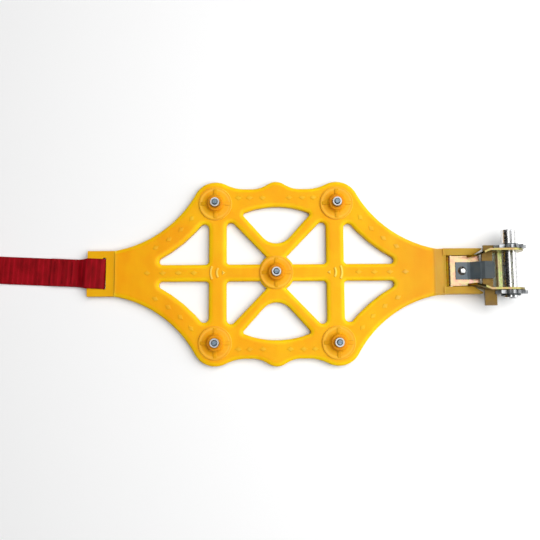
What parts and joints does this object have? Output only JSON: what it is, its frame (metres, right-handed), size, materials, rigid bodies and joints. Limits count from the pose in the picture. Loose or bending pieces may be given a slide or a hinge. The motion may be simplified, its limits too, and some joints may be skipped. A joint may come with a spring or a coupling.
{
  "type": "tyre traction pad with strap and ratchet buckle",
  "caption": "Moulded lattice tyre traction pad with steel studs, a webbing strap at one end and a hinged ratchet buckle at the other.",
  "frame": {"origin": "centre of the pad's underside, which lies on the tyre tread, under the centre stud", "axes": "+X along the pad towards the ratchet buckle, +Y across the pad towards the spool's long drive end, +Z out of the studded face"},
  "size_m": [0.5121, 0.1676, 0.0371],
  "materials": {
    "tpu": "satin translucent moulded polyurethane",
    "bright_zinc": "bright zinc-plated steel",
    "hard_core": "ground carbide",
    "yellow_zinc": "yellow-passivated zinc on pressed steel",
    "spring_steel": "blued spring steel",
    "webbing": "woven polyester webbing",
    "thread": "sewing thread",
    "tie_rubber": "matte elastic band"
  },
  "bodies": {
    "pad": {"pad_body": "tpu", "stud_centre": "bright_zinc", "stud_rear_left": "bright_zinc", "stud_rear_right": "bright_zinc", "stud_front_left": "bright_zinc", "stud_front_right": "bright_zinc", "core_centre": "hard_core", "core_rear_left": "hard_core", "core_rear_right": "hard_core", "core_front_left": "hard_core", "core_front_right": "hard_core", "hinge_pin": "bright_zinc", "strap_run": "webbing", "strap_roll": "webbing", "strap_stitching": "thread", "strap_tie": "tie_rubber"},
    "buckle": {"buckle_frame": "yellow_zinc", "spring_rivet": "bright_zinc", "leaf_spring": "spring_steel"},
    "lock": {"locking_plate": "yellow_zinc"},
    "spool": {"ratchet_wheel_drive": "bright_zinc", "ratchet_wheel_far": "bright_zinc", "spool_half_inner": "bright_zinc", "spool_half_outer": "bright_zinc", "spool_clips": "spring_steel"}
  },
  "joints": [
    {"name": "buckle_hinge", "type": "hinge", "parent": "pad", "child": "buckle", "pos_m": [0.1565, 0, 0.006], "axis": [0, -1, 0], "range_deg": [-40, 90]},
    {"name": "spool_turn", "type": "hinge", "parent": "buckle", "child": "spool", "pos_m": [0.2067, 0, 0.0152], "axis": [0, 1, 0], "continuous": true},
    {"name": "lock_slide", "type": "slide", "parent": "buckle", "child": "lock", "axis": [-0.9511, 0, 0.309], "range_m": [0, 0.0033], "stiffness_N_per_m": 2500, "springref_m": -0.002, "deforming": ["leaf_spring"]}
  ]
}
